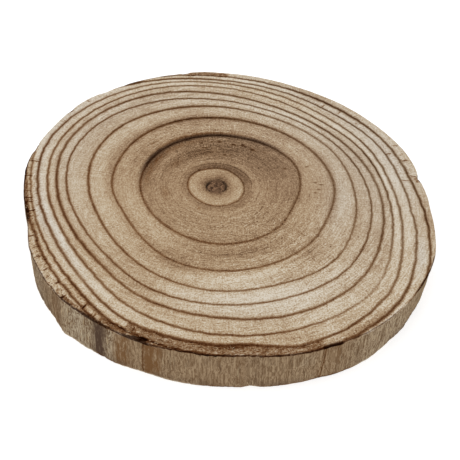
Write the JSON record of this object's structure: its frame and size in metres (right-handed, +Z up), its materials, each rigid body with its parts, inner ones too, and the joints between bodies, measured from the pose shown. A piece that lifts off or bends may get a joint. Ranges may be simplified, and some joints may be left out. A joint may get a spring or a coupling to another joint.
{
  "type": "wood slice",
  "caption": "Flat round cut from a bare stem, sawn on both faces, with growth lines round an off-centre pith and a wavy natural edge. It lies flat as a stand, base or tray.",
  "frame": {"origin": "middle of the underside's bounding rectangle, on the surface that the slice lies on", "axes": "+Z up through the thickness, from the sawn underside to the top face; -Y towards the viewer, and +X to the viewer's right"},
  "size_m": [0.2466, 0.2528, 0.0255],
  "materials": {
    "wood": "bare and sanded, matte, pale sapwood with brown growth lines, a browner heart and a fibrous grey-brown edge"
  },
  "bodies": {
    "root": {"wood_slice": "wood"}
  },
  "joints": []
}
